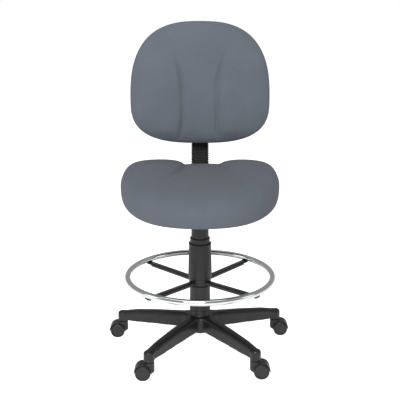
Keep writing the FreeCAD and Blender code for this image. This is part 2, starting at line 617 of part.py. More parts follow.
spokes = [spoke(angle) for angle in spoke_angles]
SCREW_LENGTH = "spoke_end_height + ring_wall + 4"
SCREW_FOOT = "spoke_top_z - spoke_end_height"
screws = [at_ring(fused("Screw", cylinder("Shank", "screw_r", SCREW_LENGTH),
                        cylinder("Head", "screw_head_r", "screw_head", ("0", "0", "0 - screw_head"))),
                  angle, SCREW_FOOT) for angle in spoke_angles]
screw_holes = [at_ring(cylinder("ScrewHole", "screw_r", SCREW_LENGTH, None), angle, SCREW_FOOT)
               for angle in spoke_angles]
# each spoke is pressed flat where the ring stands on it
end_rooms = [at_ring(grouped("EndRoom", [box(
    "EndBlock", ("0 - spoke_end_length", "2 * spoke_past_ring"),
    ("0 - 2 * spoke_half_width", "2 * spoke_half_width"),
    ("0 - 4 * spoke_half_height", "0 - spoke_end_height"),
)]), angle, "spoke_top_z") for angle in spoke_angles]
ring_solid = doc.addObject("Part::Torus", "RingOutside")
bind(ring_solid, "Radius1", "ring_r")
bind(ring_solid, "Radius2", "ring_tube_r")
bind(ring_solid, "Placement.Base.z", "ring_z")
ring_inside = doc.addObject("Part::Torus", "RingInside")
bind(ring_inside, "Radius1", "ring_r")
bind(ring_inside, "Radius2", "ring_tube_r - ring_wall")
bind(ring_inside, "Placement.Base.z", "ring_z")
subpart(cut("FootringTube", ring_solid, ring_inside, *(screw_holes + spokes)), "footring_tube")
subpart(cut("FootringSpokes", grouped("SpokeBars", spokes), grouped("SpokeRooms", screw_holes + end_rooms)),
        "footring_spokes")
subpart(grouped("FootringScrews", screws), "footring_screws")

RING_BORE = "standing_r + running + 0.03"
hub_whole = turned("RingHub", [
    (RING_BORE, "ring_hub_foot_z"), ("ring_hub_r - 5", "ring_hub_foot_z"),
    ("ring_hub_r - 2", "ring_hub_foot_z + 1.5"),
    ("ring_hub_r", "ring_hub_foot_z + 5"), ("ring_hub_r", "ring_hub_top_z"), (RING_BORE, "ring_hub_top_z"),
])
KNOB_Z = "ring_hub_foot_z + ring_hub_height / 2"
knob_hole = cylinder("KnobHole", "ring_knob_stem_r + running", "ring_hub_r",
                     ("0", "standing_r - 2", KNOB_Z), ALONG_Y)
subpart(cut("FootringHub", hub_whole, knob_hole, *spokes), "footring_hub")


def star_knob(name, radius, height, stem_r, stem_length, lobes=6):
    """A lobed grip on a threaded stem; the stem points down from the origin, the grip stands on it."""
    disc = cylinder("Grip", radius, height)
    spacing = 360 / lobes
    notches = []
    for i in range(lobes):
        notch = cylinder("Notch", "(%s) * 0.28" % radius, "(%s) + 2" % height, ("0", "0", "0 - 1"))
        angle = math.radians(spacing * i)
        bind(notch, "Placement.Base.x", "(%s) * %.5f" % (radius, 1.08 * math.cos(angle)))
        bind(notch, "Placement.Base.y", "(%s) * %.5f" % (radius, 1.08 * math.sin(angle)))
        notches.append(notch)
    stem = cylinder("KnobStem", stem_r, stem_length, ("0", "0", "0 - (%s)" % stem_length))
    return fused(name, cut("GripCut", disc, *notches), stem)


ring_knob = star_knob("RingKnob", "ring_knob_r", "ring_knob_height", "ring_knob_stem_r",
                      "ring_knob_y - standing_r - running * 6")
ring_knob.Placement = Placement(Vector(0, size("ring_knob_y"), size(KNOB_Z)), ALONG_Y)
subpart(ring_knob, "footring_knob")


# ---- mechanism under the seat: a pan open below and behind, a taper socket, lugs for the lever trunnions

pan = box("Pan", ("0 - mech_half_width", "mech_half_width"), ("mech_front_y", "mech_rear_y"),
          ("mech_foot_z", "board_z"))
pan_room = box("PanRoom", ("mech_wall - mech_half_width", "mech_half_width - mech_wall"),
               ("mech_front_y + mech_wall", "mech_rear_y + 1"), ("mech_foot_z - 1", "plate_foot_z"))
floor = box("PanFloor", ("mech_wall - mech_half_width", "mech_half_width - mech_wall"),
            ("0 - mech_floor_half", "mech_floor_half"),
            ("mech_foot_z", "mech_foot_z + mech_floor"))
socket_wall = cylinder("TaperSocket", "socket_r", "pressure_top_z - mech_foot_z - 1",
                       ("0", "0", "mech_foot_z"))
socket_bore = cylinder("TaperBore", "pressure_r", "pressure_top_z - mech_foot_z",
                       ("0", "0", "mech_foot_z - 0.5"))


def lug(x, y, foot_z):
    return box("Lug", ("(%s) - lug_half" % x, "(%s) + lug_half" % x),
               ("(%s) - lug_thickness / 2" % y, "(%s) + lug_thickness / 2" % y),
               (foot_z, "plate_foot_z"))


def lug_bore(x, y, height):
    return cylinder("LugBore", "trunnion_r + running", "2 * trunnion_half + 2",
                    (x, "(%s) - trunnion_half - 1" % y, height), ALONG_Y)


def wall_slot(side_x, y):
    """Room for a lever where it leaves the pan through a side wall."""
    return box("WallSlot", ("%s - 5" % side_x, "%s + 5" % side_x),
               ("(%s) - lever_r - 1" % y, "(%s) + lever_r + 1" % y),
               ("lever_z - lever_r - 1.2", "lever_z + lever_r + 5"))


HEIGHT_PIVOT_X = "0 - lever_pivot_x"
lugs = [lug(HEIGHT_PIVOT_X, "0 - trunnion_half + lug_thickness / 2", "lever_pivot_z - lug_half"),
        lug(HEIGHT_PIVOT_X, "trunnion_half - lug_thickness / 2", "lever_pivot_z - lug_half"),
        lug("lever_pivot_x", "angle_lever_y - trunnion_half + lug_thickness / 2", "lever_z - lug_half"),
        lug("lever_pivot_x", "angle_lever_y + trunnion_half - lug_thickness / 2", "lever_z - lug_half")]
bolt_places = [(x, y) for x in ("0 - bolt_x", "bolt_x") for y in ("0 - bolt_y", "bolt_y")]
plate_holes = [cylinder("PlateHole", "bolt_r", "mech_wall + 2", (x, y, "plate_foot_z - 1")) for x,
               y in bolt_places]
pin_holes = cylinder("PinHoles", "pivot_r", "2 * mech_half_width + 2",
                     ("0 - mech_half_width - 1", "pivot_y", "pivot_z"),
                     ALONG_X)
subpart(cut("MechanismHousing", fused("PanWhole", cut("PanShell", pan, pan_room), floor, socket_wall,
                                      *lugs),
            socket_bore, lug_bore(HEIGHT_PIVOT_X, "0", "lever_pivot_z"),
            lug_bore("lever_pivot_x", "angle_lever_y", "lever_z"), wall_slot("0 - mech_half_width", "0"),
            wall_slot("mech_half_width", "angle_lever_y"), pin_holes, *plate_holes), "mechanism_housing")
subpart(cylinder("PivotPin", "pivot_r", "2 * mech_half_width + 6",
                 ("0 - mech_half_width - 3", "pivot_y", "pivot_z"),
                 ALONG_X), "back_pivot_pin")


# ---- levers: a rod with a cross trunnion and a flat paddle on its end

def rod_between(start, end):
    """A round rod with a ball at its far end, from (x, z) to (x, z) pairs of expressions."""
    first, last = (Vector(size(x), 0, size(z)) for x, z in (start, end))
    reach = last.sub(first)
    rod = shaped("Rod", Part.makeCylinder(size("lever_r"), reach.Length, first, reach))
    ball = shaped("Ball", Part.makeSphere(size("lever_r"), last))
    return [rod, ball]


def paddle(name, outer_x, inner_x, y, rod):
    block = box("PaddleBlock", (outer_x, inner_x), ("(%s) - paddle_width / 2" % y,
                                                    "(%s) + paddle_width / 2" % y),
                ("lever_z - paddle_thickness / 2", "lever_z + paddle_thickness / 2"))
    return cut(name, block, rod)


def trunnion(x, y, height):
    return cylinder("Trunnion", "trunnion_r", "2 * trunnion_half", (x, "(%s) - trunnion_half" % y, height),
                    ALONG_Y)


CRANK_OUT = "0 - lever_pivot_x - crank_half"
CRANK_IN = "crank_half - lever_pivot_x"
ROD_LENGTH = "lever_reach - paddle_length * 0.2"
height_rod = cylinder("HeightRod", "lever_r", ROD_LENGTH, (CRANK_OUT, "0", "lever_z"), ALONG_MINUS_X)
height_lever = fused("HeightLever", height_rod, trunnion(HEIGHT_PIVOT_X, "0", "lever_pivot_z"),
                     cylinder("Finger", "lever_r", "lever_pivot_x - lug_half", (CRANK_IN, "0", "finger_z"),
                              ALONG_X),
                     *rod_between((CRANK_OUT, "lever_z"), (CRANK_IN, "finger_z")),
                     shaped("Elbow", Part.makeSphere(size("lever_r"),
                                                     Vector(size(CRANK_OUT), 0, size("lever_z")))))
subpart(height_lever, "height_lever")
PADDLE_OUT = CRANK_OUT + " - lever_reach"
subpart(paddle("HeightPaddle", PADDLE_OUT, PADDLE_OUT + " + paddle_length", "0", height_rod),
        "height_lever_paddle")

angle_rod = cylinder("AngleRod", "lever_r", ROD_LENGTH + " + crank_half",
                     ("lever_pivot_x", "angle_lever_y", "lever_z"), ALONG_X)
subpart(fused("AngleLever", angle_rod, trunnion("lever_pivot_x", "angle_lever_y", "lever_z")),
        "back_angle_lever")
ANGLE_OUT = "lever_pivot_x + crank_half + lever_reach"
subpart(paddle("AnglePaddle", ANGLE_OUT + " - paddle_length", ANGLE_OUT, "angle_lever_y", angle_rod),
        "back_angle_paddle")


# ---- seat: plywood board, cushion that wraps its edge and drops at the front, thin cover underneath

armrest_places = [(side + " + %s * armrest_spacing_x / 2" % i, "armrest_y + %s * armrest_spacing_y / 2" % j)
                  for side in ("0 - armrest_x", "armrest_x") for i in (-1, 1) for j in (-1, 1)]
board_holes = [cylinder("ArmrestHole", "armrest_hole_r", "board_thickness + 2", (x, y, "board_z - 1"))
               for x, y in armrest_places]
board_holes += [cylinder("BoltHole", "bolt_r", "board_thickness + 2", (x, y, "board_z - 1")) for x,
                y in bolt_places]
board_slab = shaped("BoardSlab", slab(seat_outline(size("board_inset"), size("board_z")),
                                      size("board_thickness")))
subpart(cut("SeatBoard", board_slab, *board_holes), "seat_board")

cover_slab = shaped("CoverSlab", slab(seat_outline(size("board_inset + 4"), size("board_z - dust_cover")),
                                      size("dust_cover")))
mech_window = box("MechWindow", ("0 - mech_half_width - 2", "mech_half_width + 2"),
                  ("mech_front_y - 2", "mech_rear_y + 40"),
                  ("board_z - 5", "board_z + 1"))
windows = [box("ArmrestWindow", (side + " - armrest_spacing_x / 2 - 12",
                                 side + " + armrest_spacing_x / 2 + 12"),
               ("armrest_y - armrest_spacing_y / 2 - 12", "armrest_y + armrest_spacing_y / 2 + 12"),
               ("board_z - 5", "board_z + 1")) for side in ("0 - armrest_x", "armrest_x")]
subpart(cut("SeatDustCover", cover_slab, mech_window, *windows), "seat_dust_cover")
seat_bolts = [fused("Bolt", cylinder("BoltHead", "bolt_head_r", "bolt_head",
                                     (x, y, "plate_foot_z - bolt_head")),
                    cylinder("BoltShank", "bolt_r", "mech_wall + board_thickness - 2",
                             (x, y, "plate_foot_z")))
              for x, y in bolt_places]
subpart(grouped("SeatBolts", seat_bolts), "seat_bolts")


def seat_cushion_shape():
    """A stack of outlines with two lobes on it, cut below by a level that drops to the lip at the front."""
    top, lip, side_foot = size("seat_top_z"), size("seat_lip_z"), size("seat_side_foot_z")
    sunk, clear, lip_run = size("lobe_sunk"), 50, 170
    whole = stacked(seat_outline, [(16, lip), (3, lip + 18), (0, top - 58), (4, top - 26), (18, top - 8),
                                   (46, top)])
    for side in (-1, 1):
        swell = FreeCAD.Matrix()
        swell.scale(size("lobe_half_width"), size("lobe_half_depth"), size("lobe_rise") + sunk)
        lobe = Part.makeSphere(1).transformGeometry(swell)
        lobe.translate(Vector(side * size("lobe_x"), size("lobe_y"), top - sunk))
        whole = whole.fuse(lobe)
    front = size("seat_middle_y - seat_front_depth")
    rear = size("seat_middle_y + seat_rear_depth") + clear
    wide = size("seat_half_width") + clear
    under = [(front - clear, lip - clear), (front - clear, lip), (front, lip), (front + lip_run, side_foot),
             (rear, side_foot), (rear, lip - clear)]
    below = Part.Face(Part.makePolygon([Vector(-wide, y, z) for y, z in under + under[:1]]))
    whole = whole.cut(below.extrude(Vector(2 * wide, 0, 0)))
    board_room = slab(seat_outline(size("board_inset") - 0.5, lip - 10), size("board_top_z") - lip + 10)
    return whole.cut(board_room)


subpart(shaped("SeatCushion", seat_cushion_shape()), "seat_cushion")


# ---- back carrier: a bracket on the pivot pin, a flat bar that slides in it and bends up behind the seat

bracket_block = box("BracketBlock", ("0 - bracket_half", "bracket_half"),
                    ("pivot_y - pivot_r - 7", "bracket_end_y"),
                    ("pivot_z - bracket_height / 2", "pivot_z + bracket_height / 2"))
bar_slot = box("BarSlot", ("0 - bar_half_width - bar_slack", "bar_half_width + bar_slack"),
               ("bar_front_y - 2", "bracket_end_y + 1"),
               ("pivot_z - bar_thickness / 2 - bar_slack", "pivot_z + bar_thickness / 2 + bar_slack"))
bracket_bore = cylinder("BracketBore", "pivot_r + running", "2 * bracket_half + 2",
                        ("0 - bracket_half - 1", "pivot_y", "pivot_z"), ALONG_X)
depth_hole = cylinder("DepthHole", "knob_stem_r + running", "bracket_height / 2",
                      ("0", "depth_knob_y", "pivot_z - bracket_height / 2 - 1"))
subpart(cut("BackBracket", bracket_block, bar_slot, bracket_bore, depth_hole), "back_bracket")

DEPTH_GRIP = "pivot_z - bracket_height / 2 - knob_gap"
depth_knob = star_knob("DepthKnob", "depth_knob_r", "depth_knob_height", "knob_stem_r",
                       "bracket_height / 2 + knob_gap - bar_thickness / 2 - running * 6")
depth_knob.Placement = Placement(Vector(0, size("depth_knob_y"), size(DEPTH_GRIP)),
                                 Rotation(Vector(1, 0, 0), 180))
subpart(depth_knob, "back_depth_knob")


def back_bar_shape():
    """A flat bar: level from its front end, bent up by one arc, then straight along the tilted back."""
    tilt, radius, half = math.radians(size("back_tilt")), size("bar_bend_r"), size("bar_thickness") / 2
    up = Vector(0, math.sin(tilt), math.cos(tilt))
    inward = Vector(0, -math.cos(tilt), math.sin(tilt))
    back = Vector(0, size("back_y"), size("back_z")).sub(inward * size("bar_depth"))
    corner = back.add(up * ((size("pivot_z") - back.z) / up.z))
    reach = radius * math.tan((math.pi / 2 - tilt) / 2)
    level, level_in = Vector(0, 1, 0), Vector(0, 0, 1)
    start, bend_start = Vector(0, size("bar_front_y"), size("pivot_z")), corner.sub(level * reach)
    bend_end, end = corner.add(up * reach), back.add(up * size("bar_top"))
    centre = bend_start.add(level_in * radius)
    outward = corner.sub(centre).normalize()

    def side(offset):
        points = [start.add(level_in * offset), bend_start.add(level_in * offset),
                  bend_end.add(inward * offset),
                  end.add(inward * offset)]
        middle = centre.add(outward * (radius - offset))
        return points, [Part.LineSegment(points[0], points[1]).toShape(),
                        Part.Arc(points[1], middle, points[2]).toShape(),
                        Part.LineSegment(points[2], points[3]).toShape()]

    inner, inner_edges = side(half)
    outer, outer_edges = side(-half)
    ends = [Part.makeLine(inner[3], outer[3]), Part.makeLine(outer[0], inner[0])]
    face = Part.Face(Part.Wire(Part.__sortEdges__(inner_edges + outer_edges + ends)))
    face.translate(Vector(-size("bar_half_width"), 0, 0))
    return face.extrude(Vector(2 * size("bar_half_width"), 0, 0))


subpart(shaped("BackBar", back_bar_shape()), "back_bar")


# ---- backrest, drawn flat with x across, y up the back and z towards the sitter, then stood up and tilted

BACK_PLACE = Placement(Vector(0, size("back_y"), size("back_z")),
                       Rotation(Vector(1, 0, 0), 90 - size("back_tilt")))


def stood_up(thing):
    thing.Placement = BACK_PLACE.multiply(thing.Placement)
    return thing


subpart(shaped("BackBoard", slab(back_outline(size("back_board_inset"), -size("back_board_thickness")),
                                 size("back_board_thickness")), BACK_PLACE), "back_board")
depth = size("back_depth")
subpart(shaped("BackCushion", stacked(back_outline, [(9, 0.3), (1, depth * 0.2), (0, depth * 0.36),
                                                     (6, depth * 0.66),
                                                     (26, depth * 0.9), (62, depth)]), BACK_PLACE),
        "back_cushion")


def shell_shape():
    depth, wall, inset = size("shell_depth"), size("shell_wall"), size("shell_inset")
    levels = ((inset + 16, -depth), (inset + 5, 5 - depth), (inset, 13 - depth), (inset, 0))
    outside = Part.makeLoft([back_outline(*level) for level in levels], True, True)
    inside = Part.makeLoft([back_outline(gap + wall, min(height + wall, 1)) for gap, height in levels],
                           True, True)
    return outside.cut(inside)


subpart(shaped("BackShell", shell_shape(), BACK_PLACE), "back_shell")

SLIDER_BACK = "0 - shell_depth - slider_depth"
SLIDER_MIDDLE = "slider_foot + slider_height / 2"
slider_block = box("SliderBlock", ("0 - slider_half_width", "slider_half_width"),
                   ("slider_foot", "slider_foot + slider_height"), (SLIDER_BACK, "0 - shell_depth"))
slider_slot = box("SliderSlot", ("0 - bar_half_width - bar_slack", "bar_half_width + bar_slack"),
                  ("slider_foot - 1", "slider_foot + slider_height + 1"),
                  ("0 - bar_depth - bar_thickness / 2 - bar_slack",
                   "bar_thickness / 2 + bar_slack - bar_depth"))
slider_hole = cylinder("SliderHole", "knob_stem_r + running", "slider_depth / 2",
                       ("0", SLIDER_MIDDLE, SLIDER_BACK + " - 1"))
subpart(stood_up(cut("HeightSlider", slider_block, slider_slot, slider_hole)), "back_height_slider")
HEIGHT_STEM = "shell_depth + slider_depth + height_knob_stem - bar_depth - bar_thickness / 2 - running * 6"
height_knob = star_knob("HeightKnob", "height_knob_r", "height_knob_height", "knob_stem_r",
                        HEIGHT_STEM)
height_knob.Placement = Placement(Vector(0, size(SLIDER_MIDDLE), size(SLIDER_BACK + " - height_knob_stem")),
                                  Rotation(Vector(1, 0, 0), 180))
subpart(stood_up(height_knob), "back_height_knob")


def bellows_shape():
    """A folded rubber sleeve round the bar, from its bend up to the slider."""
    wide, thick, fold = size("bellows_half_width"), size("bellows_half_depth"), size("bellows_fold")
    middle, pitch, top = -size("bar_depth"), size("bellows_pitch"), size("slider_foot") - 0.5
    foot = top - pitch * size("bellows_folds")
    rings = []
    for i in range(2 * int(size("bellows_folds")) + 1):
        inset = 0 if i % 2 else fold
        x, z, y = wide - inset, thick - inset, foot + i * pitch / 2
        corners = [Vector(-x, y, middle - z), Vector(x, y, middle - z), Vector(x, y, middle + z),
                   Vector(-x, y, middle + z)]
        rings.append(Part.makePolygon(corners + corners[:1]))
    sleeve_shape = Part.makeLoft(rings, True, True)
    x, z = size("bar_half_width") + 1, size("bar_thickness") / 2 + 1
    room = Part.makeBox(2 * x, top - foot + 2, 2 * z, Vector(-x, foot - 1, middle - z))
    return sleeve_shape.cut(room)


subpart(shaped("BackBellows", bellows_shape(), BACK_PLACE), "back_bellows")


# ---- check everything, then write one file for each sub-part

doc.recompute()
faults = [thing.Label for thing in doc.Objects if "Invalid" in thing.State or "Error" in thing.State]
faults += [thing.Label for thing in subparts if thing.Shape.isNull() or not thing.Shape.isValid()]
if faults:
    raise RuntimeError("failed objects: " + ", ".join(faults))
os.makedirs("parts", exist_ok=True)
for thing in subparts:
    thing.Shape.exportStep("parts/%s.step" % thing.Label)
print("%d sub-parts written" % len(subparts))
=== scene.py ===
import json
import math

import bmesh
import bpy
from mathutils import Matrix, Vector


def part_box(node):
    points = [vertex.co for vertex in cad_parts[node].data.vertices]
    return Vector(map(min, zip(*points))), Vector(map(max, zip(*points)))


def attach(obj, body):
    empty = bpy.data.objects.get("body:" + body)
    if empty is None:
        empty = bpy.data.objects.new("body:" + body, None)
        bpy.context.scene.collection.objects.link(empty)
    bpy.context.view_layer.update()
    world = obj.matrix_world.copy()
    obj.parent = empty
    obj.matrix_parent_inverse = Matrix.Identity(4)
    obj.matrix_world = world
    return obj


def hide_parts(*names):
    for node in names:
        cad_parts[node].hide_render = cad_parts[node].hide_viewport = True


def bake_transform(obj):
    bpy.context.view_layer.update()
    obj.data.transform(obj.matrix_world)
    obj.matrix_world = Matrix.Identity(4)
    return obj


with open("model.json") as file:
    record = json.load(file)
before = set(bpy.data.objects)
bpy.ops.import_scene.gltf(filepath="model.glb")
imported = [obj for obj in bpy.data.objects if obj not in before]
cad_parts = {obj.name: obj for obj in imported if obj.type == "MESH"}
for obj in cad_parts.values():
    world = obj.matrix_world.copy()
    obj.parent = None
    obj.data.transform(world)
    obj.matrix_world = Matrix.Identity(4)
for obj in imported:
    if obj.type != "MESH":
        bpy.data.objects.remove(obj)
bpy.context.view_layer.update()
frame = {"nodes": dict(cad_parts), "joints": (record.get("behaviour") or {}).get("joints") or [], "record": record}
print("frame loaded:", len(frame["nodes"]), "nodes")


def srgb(text):
    # sRGB hex to linear RGBA
    channels = [int(text[i:i + 2], 16) / 255 for i in (1, 3, 5)]
    linear = [c / 12.92 if c <= 0.04045 else ((c + 0.055) / 1.055) ** 2.4 for c in channels]
    return (*linear, 1.0)


def addNode(tree, kind, links=(), **settings):
    # settings named in_X fill the input X (underscores stand for spaces); links are (input, output socket)
    node = tree.nodes.new(kind)
    for name, value in settings.items():
        if not name.startswith("in_"):
            setattr(node, name, value)
    for name, value in settings.items():
        if name.startswith("in_"):
            node.inputs[name[3:].replace("_", " ")].default_value = value
    for name, socket in links:
        tree.links.new(socket, node.inputs[name])
    return node


def newMaterial(name, **shader):
    material = bpy.data.materials.new(name)
    material.use_nodes = True
    tree = material.node_tree
    tree.nodes.clear()
    surface = addNode(tree, "ShaderNodeBsdfPrincipled", **shader)
    addNode(tree, "ShaderNodeOutputMaterial", [("Surface", surface.outputs[0])])
    place = addNode(tree, "ShaderNodeTexCoord").outputs["Object"]
    return material, tree, surface, place


def mixColours(tree, factor, low, high):
    ramp = addNode(tree, "ShaderNodeMix", data_type="RGBA")
    tree.links.new(factor, ramp.inputs[0])
    ramp.inputs[6].default_value = srgb(low)
    ramp.inputs[7].default_value = srgb(high)
    return ramp.outputs[2]


def spread(tree, value, low, high, fromLow=0.3, fromHigh=0.7):
    # brings a noise value into a narrow band
    node = addNode(tree, "ShaderNodeMapRange", [("Value", value)])
    for index, number in enumerate((fromLow, fromHigh, low, high), start=1):
        node.inputs[index].default_value = number
    return node.outputs[0]


def noiseAt(tree, place, pitch, detail, stretch=None):
    # pitch is the size of one patch in metres
    if stretch:
        place = addNode(tree, "ShaderNodeMapping", [("Vector", place)], in_Scale=stretch).outputs[0]
    noise = addNode(tree, "ShaderNodeTexNoise", [("Vector", place)], in_Scale=1 / pitch, in_Detail=detail)
    return noise.outputs["Fac"]


def bump(tree, surface, height, distance, strength):
    # distance is the height of the relief in metres
    node = addNode(tree, "ShaderNodeBump", [("Height", height)], in_Strength=strength, in_Distance=distance)
    tree.links.new(node.outputs[0], surface.inputs["Normal"])


def waveScale(pitch):
    # the Scale at which a wave texture has one band every pitch metres
    return 0.314 / pitch


def wovenPolyester():
    # matt slate-grey cloth in a tight plain weave: no gloss, a pale sheen where it turns away
    cloth = {"thread": 0.0021, "relief": 0.00022, "dark": "#545961", "light": "#5f656d", "yarn": 0.0032,
             "patch": 0.09}
    material, tree, surface, place = newMaterial("wovenPolyester", in_Roughness=0.95, in_Sheen_Weight=0.04,
                                                 in_Sheen_Roughness=0.45, in_Specular_IOR_Level=0.25)
    threads = []  # the real thread is 0.7 mm: drawn three times as coarse so that it shows
    for axis in ("X", "Y"):
        wave = addNode(tree, "ShaderNodeTexWave", [("Vector", place)], wave_type="BANDS", bands_direction=axis,
                       wave_profile="SIN", in_Scale=waveScale(cloth["thread"]), in_Distortion=0.4, in_Detail=1.0)
        threads.append(wave.outputs["Fac"])
    weave = addNode(tree, "ShaderNodeMath", operation="MULTIPLY")
    tree.links.new(threads[0], weave.inputs[0])
    tree.links.new(threads[1], weave.inputs[1])
    fleck = noiseAt(tree, place, cloth["yarn"], 3)
    patch = noiseAt(tree, place, cloth["patch"], 2)
    tone = addNode(tree, "ShaderNodeMath", operation="MULTIPLY_ADD")
    tree.links.new(spread(tree, fleck, 0.0, 0.5), tone.inputs[0])
    tone.inputs[1].default_value = 1.0
    tree.links.new(spread(tree, patch, 0.1, 0.45), tone.inputs[2])
    tree.links.new(mixColours(tree, tone.outputs[0], cloth["dark"], cloth["light"]), surface.inputs["Base Color"])
    bump(tree, surface, weave.outputs[0], cloth["relief"], 0.6)
    return material


def mouldedPlastic(name, dark, light, roughness, grain=0.0009, relief=0.00005, gloss=0.5):
    # injection-moulded polypropylene or nylon: charcoal, with the fine spark-eroded grain of its mould
    material, tree, surface, place = newMaterial(name, in_IOR=1.49, in_Specular_IOR_Level=gloss)
    cloud = noiseAt(tree, place, 0.035, 2)
    tree.links.new(mixColours(tree, spread(tree, cloud, 0, 1), dark, light), surface.inputs["Base Color"])
    tree.links.new(spread(tree, noiseAt(tree, place, 0.012, 3), roughness - 0.05, roughness + 0.06),
                   surface.inputs["Roughness"])
    bump(tree, surface, noiseAt(tree, place, grain, 2), relief, 0.5)
    return material


def chromePlate():
    # bright nickel-chrome on tube: mirror bands of the room, the faintest haze
    material, tree, surface, place = newMaterial("chromePlate", in_Metallic=1.0)
    surface.inputs["Base Color"].default_value = srgb("#dfe1e3")
    tree.links.new(spread(tree, noiseAt(tree, place, 0.02, 3), 0.05, 0.11), surface.inputs["Roughness"])
    return material


def powderCoatedSteel():
    # black semi-gloss powder coat: a low orange peel breaks its highlights
    material, tree, surface, place = newMaterial("powderCoatedSteel", in_IOR=1.5)
    surface.inputs["Base Color"].default_value = srgb("#1d1d1f")
    tree.links.new(spread(tree, noiseAt(tree, place, 0.01, 2), 0.30, 0.40), surface.inputs["Roughness"])
    bump(tree, surface, noiseAt(tree, place, 0.0022, 2), 0.00008, 0.5)
    return material


def platedSteel(name, colour, low, high, stretch):
    # plated or ground steel: grey, softly streaked along the way it was worked
    material, tree, surface, place = newMaterial(name, in_Metallic=1.0)
    surface.inputs["Base Color"].default_value = srgb(colour)
    streaks = noiseAt(tree, place, 0.0015, 2, stretch)
    tree.links.new(spread(tree, streaks, low, high), surface.inputs["Roughness"])
    bump(tree, surface, streaks, 0.00002, 0.4)
    return material


def birchPlywood():
    # sanded birch: pale face with long grain, darker glue lines between its plies
    material, tree, surface, place = newMaterial("birchPlywood", in_Roughness=0.62)
    grain = noiseAt(tree, place, 0.004, 4, (1.0, 0.06, 1.0))
    ply = addNode(tree, "ShaderNodeTexWave", [("Vector", place)], bands_direction="Z",
                  in_Scale=waveScale(0.0024), in_Distortion=0.6)
    both = addNode(tree, "ShaderNodeMath", operation="MULTIPLY")
    tree.links.new(spread(tree, grain, 0.4, 1), both.inputs[0])
    tree.links.new(spread(tree, ply.outputs["Fac"], 0.75, 1, 0, 1), both.inputs[1])
    tree.links.new(mixColours(tree, both.outputs[0], "#8d6b44", "#cfae7f"), surface.inputs["Base Color"])
    bump(tree, surface, grain, 0.0001, 0.3)
    return material


def naturalAcetal():
    # turned acetal: milky white, waxy, slightly see-through at its edges
    material, tree, surface, place = newMaterial("naturalAcetal", in_IOR=1.48, in_Subsurface_Weight=0.1)
    tree.links.new(mixColours(tree, spread(tree, noiseAt(tree, place, 0.01, 2), 0, 1), "#d9d6cb", "#e8e6de"),
                   surface.inputs["Base Color"])
    surface.inputs["Roughness"].default_value = 0.42
    return material


def rubberGaiter():
    # black EPDM: dull, with a faint grey bloom in random patches
    material, tree, surface, place = newMaterial("rubberGaiter", in_IOR=1.52, in_Specular_IOR_Level=0.35)
    tree.links.new(mixColours(tree, spread(tree, noiseAt(tree, place, 0.006, 3), 0, 1), "#161616", "#242425"),
                   surface.inputs["Base Color"])
    tree.links.new(spread(tree, noiseAt(tree, place, 0.004, 2), 0.5, 0.66), surface.inputs["Roughness"])
    bump(tree, surface, noiseAt(tree, place, 0.0012, 2), 0.00006, 0.5)
    return material


finishes = {
    "upholstery": wovenPolyester(),
    "plywood": birchPlywood(),
    "cover_plastic": mouldedPlastic("mouldedPolypropylene", "#121213", "#171718", 0.42),
    "base_nylon": mouldedPlastic("glassFilledNylon", "#141415", "#1a1a1b", 0.36, 0.0014, 0.00008),
    "castor_nylon": mouldedPlastic("castorNylon", "#171718", "#1d1d1e", 0.40, 0.0012, 0.00007),
    "wheel_nylon": mouldedPlastic("wheelNylon", "#1c1c1d", "#242425", 0.42, 0.0016, 0.00010),
    "chrome": chromePlate(),
    "black_enamel": powderCoatedSteel(),
    "zinc_steel": platedSteel("zincPlatedSteel", "#b4b7ba", 0.26, 0.40, (1.0, 1.0, 1.0)),
    "ground_steel": platedSteel("groundSteel", "#c3c4c6", 0.14, 0.24, (1.0, 1.0, 30.0)),
    "bush_plastic": naturalAcetal(),
    "bellows_rubber": rubberGaiter(),
}
slotOf = {entry["node"]: entry["material_slot"] for entry in frame["record"]["subparts"]}
for name, thing in frame["nodes"].items():
    thing.data.materials.clear()
    thing.data.materials.append(finishes[slotOf[name]])
print("materials made:", len(finishes))


def smoothStep(low, high, value):
    t = min(1, max(0, (value - low) / (high - low)))
    return t * t * (3 - 2 * t)


def makePiece(name, points, faces, slot, body, *nodes):
    mesh = bpy.data.meshes.new(name)
    mesh.from_pydata([tuple(p) for p in points], [], faces)
    built = bmesh.new()
    built.from_mesh(mesh)
    bmesh.ops.recalc_face_normals(built, faces=built.faces)
    built.to_mesh(mesh)
    built.free()
    mesh.polygons.foreach_set("use_smooth", [True] * len(mesh.polygons))
    piece = bpy.data.objects.new(name, mesh)
    bpy.context.scene.collection.objects.link(piece)
    mesh.materials.append(finishes[slot])
    if body:
        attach(piece, body)
    if nodes:
        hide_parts(*nodes)
    return piece


def skin(rings):
    # joins rings of equal count into a tube, with a fan at each end
    count = len(rings[0])
    points = [p for ring in rings for p in ring]
    faces = []
    for level in range(len(rings) - 1):
        for i in range(count):
            j = (i + 1) % count
            faces.append((level * count + i, level * count + j, (level + 1) * count + j, (level + 1) * count + i))
    for level in (0, len(rings) - 1):
        centre = sum((Vector(p) for p in rings[level]), Vector()) / count
        points.append(centre)
        faces += [(level * count + i, level * count + (i + 1) % count, len(points) - 1) for i in range(count)]
    return points, faces


def superEllipse(angle, halfWidth, low, high, lowPower, highPower):
    # a point of an outline whose low and high halves share one width
    depth, power = (high, highPower) if math.sin(angle) >= 0 else (low, lowPower)
    c, s = math.cos(angle), math.sin(angle)
    return (math.copysign(abs(c) ** (2 / power), c) * halfWidth, math.copysign(abs(s) ** (2 / power), s) * depth)


upBack = Vector(next(j["axis"] for j in frame["joints"] if j["name"] == "back_height"))
outBack = Vector((1, 0, 0)).cross(upBack)
boardLow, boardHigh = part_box("back_board")

